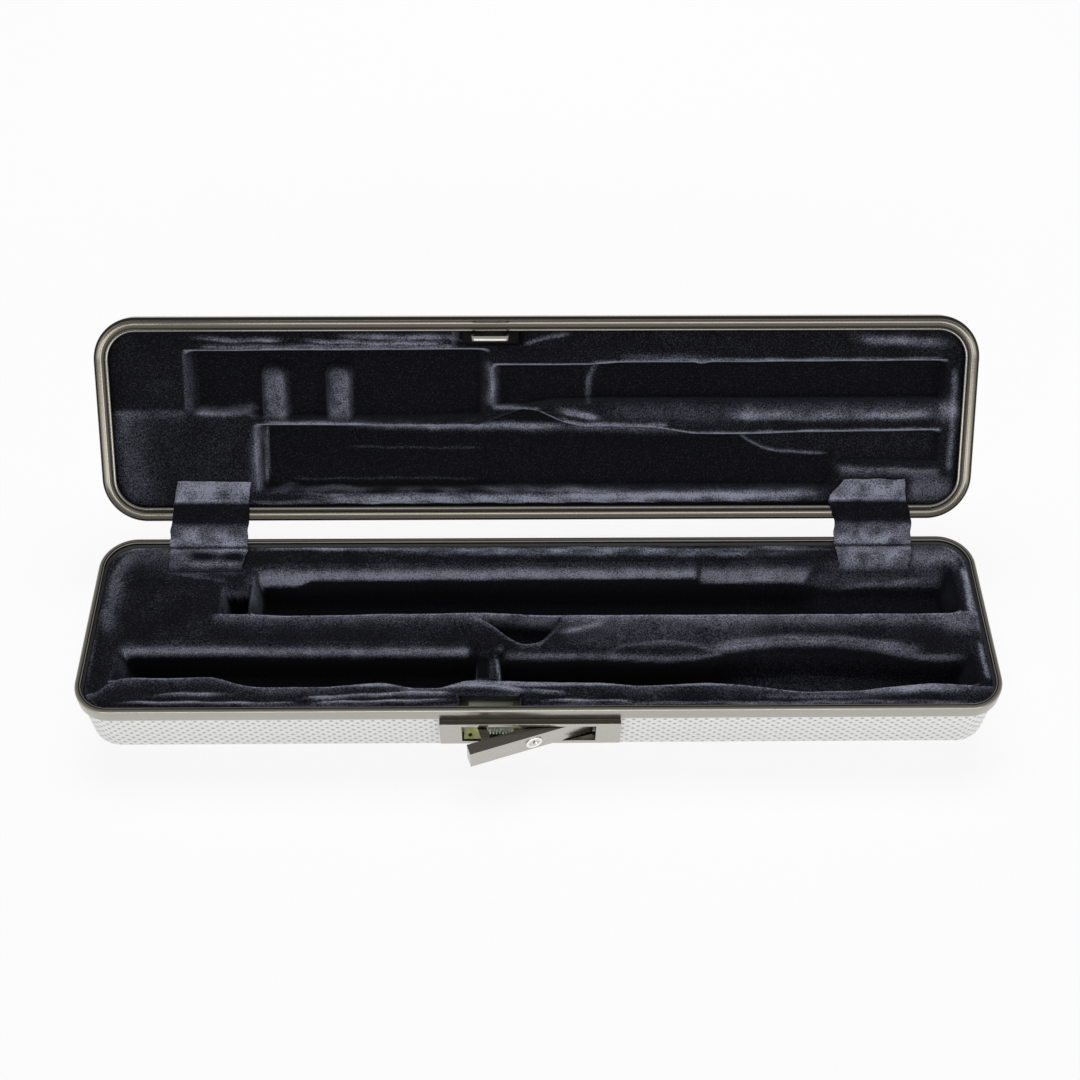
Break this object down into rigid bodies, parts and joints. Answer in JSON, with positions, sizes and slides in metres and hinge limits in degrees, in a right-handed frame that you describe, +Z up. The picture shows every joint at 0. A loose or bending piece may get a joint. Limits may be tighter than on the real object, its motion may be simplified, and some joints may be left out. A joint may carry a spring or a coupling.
{
  "type": "flute case",
  "caption": "Slim hard case for a flute taken apart, with velvet-lined channels, a hinged lid laid open, metal rims, and a keyed lever latch that hooks a staple on the lid.",
  "frame": {"origin": "on the table under the middle of the base's flat bottom", "axes": "+X along the case to the right as seen from the latch, +Y to the hinges, +Z up"},
  "size_m": [0.426, 0.2, 0.1222],
  "materials": {
    "shell_skin": "gloss",
    "base_rim_metal": "satin",
    "lid_rim_metal": "polished",
    "velvet": "matte",
    "plywood": "matte",
    "foam": "matte",
    "hinge_steel": "satin",
    "latch_metal": "satin",
    "zinc_yellow": "satin",
    "spring_steel": "satin",
    "strike_chrome": "polished",
    "lock_brass": "satin"
  },
  "bodies": {
    "base": {"base_shell": "shell_skin", "base_rim": "base_rim_metal", "base_board": "plywood", "base_lining": "velvet", "hinge_base_leaf_left": "hinge_steel", "hinge_base_leaf_right": "hinge_steel", "hinge_base_rivets": "hinge_steel", "hinge_pin_left": "hinge_steel", "hinge_pin_right": "hinge_steel", "hinge_strap_left": "velvet", "hinge_strap_right": "velvet", "latch_frame": "latch_metal", "latch_rivets": "hinge_steel", "latch_housing": "zinc_yellow", "lever_pin": "hinge_steel", "slide_guide": "hinge_steel", "latch_spring": "spring_steel", "lock_keeper": "zinc_yellow"},
    "lid": {"lid_shell": "shell_skin", "lid_rim": "lid_rim_metal", "lid_lining": "velvet", "lid_spacer": "foam", "hinge_lid_leaf_left": "hinge_steel", "hinge_lid_leaf_right": "hinge_steel", "hinge_lid_rivets": "hinge_steel", "strike_plate": "hinge_steel", "strike_rivets": "hinge_steel", "strike_staple": "strike_chrome"},
    "lever": {"latch_lever": "latch_metal", "lock_barrel": "strike_chrome"},
    "lock": {"lock_plug": "lock_brass", "lock_cam": "lock_brass"},
    "slide": {"latch_slide": "zinc_yellow"}
  },
  "joints": [
    {"name": "lid_hinge", "type": "hinge", "parent": "base", "child": "lid", "pos_m": [0, 0.0545, 0.0375], "axis": [1, 0, 0], "range_deg": [0, 127.45], "deforming": ["hinge_strap_left", "hinge_strap_right"]},
    {"name": "lever_swing", "type": "hinge", "parent": "base", "child": "lever", "pos_m": [0.0095, -0.0476, 0.0217], "axis": [0, 0, 1], "range_deg": [-18.2, 6], "stiffness_Nm_per_rad": 0.02},
    {"name": "lock_turn", "type": "hinge", "parent": "lever", "child": "lock", "pos_m": [-0.00278, -0.05732, 0.0217], "axis": [-0.3123, 0.95, 0], "range_deg": [0, 90]},
    {"name": "slide_travel", "type": "slide", "parent": "base", "child": "slide", "axis": [1, 0, 0], "range_m": [-0.0006, 0.0016], "deforming": ["latch_spring"]}
  ],
  "couplings": [
    {"joint": "slide_travel", "follows": "lever_swing", "m_per_rad": -0.0049163}
  ]
}
